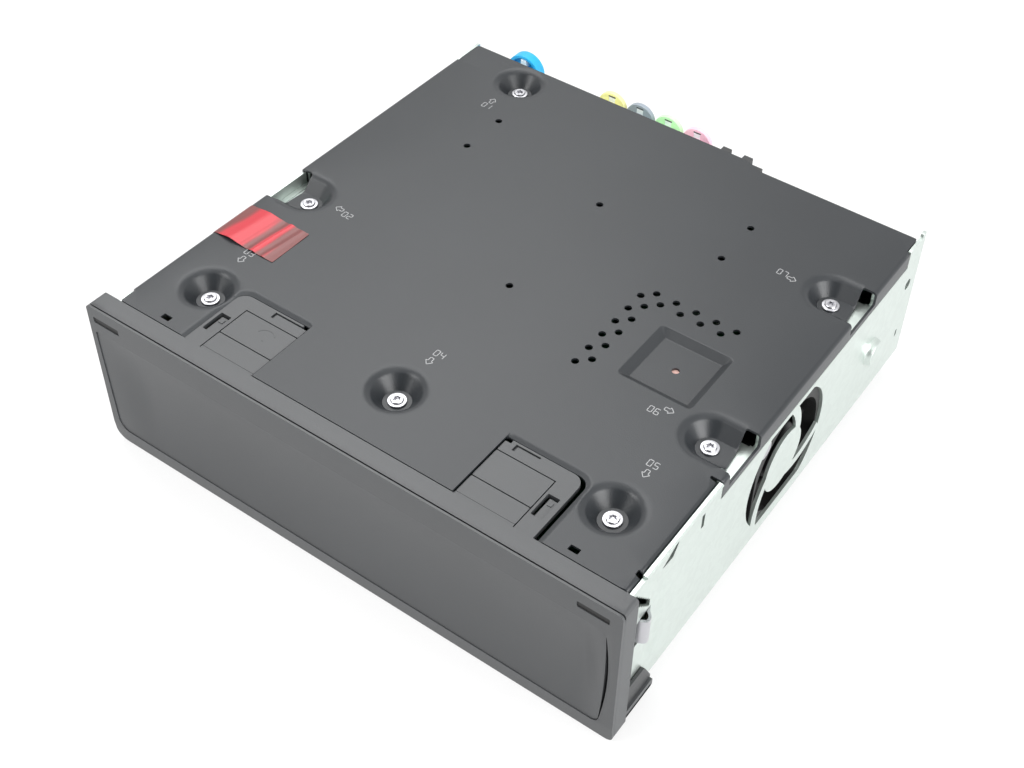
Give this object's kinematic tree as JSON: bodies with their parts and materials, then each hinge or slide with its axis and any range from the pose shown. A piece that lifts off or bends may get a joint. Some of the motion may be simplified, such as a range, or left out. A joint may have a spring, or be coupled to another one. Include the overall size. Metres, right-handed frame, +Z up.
{
  "type": "car head unit",
  "caption": "Slide-in car head unit: sheet-steel case with a plain scooped front, screwed black cover, side fan, sprung side catches and coded rear sockets.",
  "frame": {"origin": "on the surface that the front frame's bottom edge stands on, under the middle of the whole unit", "axes": "+X to the right as seen from the front, +Y to the rear sockets, +Z up"},
  "size_m": [0.188, 0.1942, 0.0587],
  "materials": {
    "galvanised_steel": "zinc-coated sheet, satin",
    "black_steel": "fine satin black paint on sheet",
    "black_plastic": "fine-grained moulding",
    "screw_steel": "bright plated",
    "board_green": "solder mask",
    "aluminium": "extruded",
    "brass": "tinned brass",
    "chip_black": "moulded epoxy",
    "fan_black": "moulded",
    "connector_blue": "moulded",
    "connector_yellow": "moulded",
    "connector_grey": "moulded",
    "connector_green": "moulded",
    "connector_pink": "moulded",
    "connector_black": "moulded",
    "seal_red": "translucent film",
    "pad_pink": "soft silicone pad",
    "capacitor_blue": "shrink sleeve"
  },
  "bodies": {
    "case": {"amplifier_board": "board_green", "amplifier_chip": "chip_black", "amplifier_heat_sink": "aluminium", "board_connector": "chip_black", "board_pillar_1": "brass", "board_pillar_2": "brass", "board_pillar_3": "brass", "board_pillar_4": "brass", "board_screw_1": "screw_steel", "board_screw_2": "screw_steel", "board_screw_3": "screw_steel", "board_screw_4": "screw_steel", "capacitor_1": "capacitor_blue", "capacitor_2": "capacitor_blue", "catch_pin_left": "screw_steel", "catch_pin_right": "screw_steel", "chassis_tray": "galvanised_steel", "coax_contact_blue": "brass", "coax_contact_green": "brass", "coax_contact_grey": "brass", "coax_contact_pink": "brass", "coax_contact_yellow": "brass", "coax_socket_blue": "connector_blue", "coax_socket_green": "connector_green", "coax_socket_grey": "connector_grey", "coax_socket_pink": "connector_pink", "coax_socket_yellow": "connector_yellow", "connector_pins": "brass", "cover_pillar_1": "brass", "cover_pillar_2": "brass", "cover_pillar_3": "brass", "cover_pillar_4": "brass", "cover_screw_1": "screw_steel", "cover_screw_2": "screw_steel", "cover_screw_3": "screw_steel", "cover_screw_4": "screw_steel", "cover_screw_5": "screw_steel", "cover_screw_6": "screw_steel", "cover_screw_7": "screw_steel", "fan_bracket": "galvanised_steel", "fan_frame": "fan_black", "fan_screw_1": "screw_steel", "fan_screw_2": "screw_steel", "fascia_insert": "black_plastic", "front_frame": "black_plastic", "main_board": "board_green", "main_connector": "connector_black", "modem_shield": "galvanised_steel", "processor": "chip_black", "processor_heat_sink": "aluminium", "rear_panel": "galvanised_steel", "seal_label": "seal_red", "thermal_pad": "pad_pink", "top_cover": "black_steel", "tuner_shield": "galvanised_steel"},
    "fan": {"fan_rotor": "fan_black"},
    "catch_left_leaf": {"catch_left": "galvanised_steel"},
    "catch_right_leaf": {"catch_right": "galvanised_steel"}
  },
  "joints": [
    {"name": "fan_spin", "type": "hinge", "parent": "case", "child": "fan", "pos_m": [0.0858, -0.00006, 0.0275], "axis": [1, 0, 0], "continuous": true},
    {"name": "catch_left_press", "type": "hinge", "parent": "case", "child": "catch_left_leaf", "pos_m": [-0.0852, -0.06295, 0.0352], "axis": [0, 0, 1], "range_deg": [0, 6], "stiffness_Nm_per_rad": 0.05},
    {"name": "catch_right_press", "type": "hinge", "parent": "case", "child": "catch_right_leaf", "pos_m": [0.0886, -0.06295, 0.0352], "axis": [0, 0, -1], "range_deg": [0, 6], "stiffness_Nm_per_rad": 0.05}
  ]
}
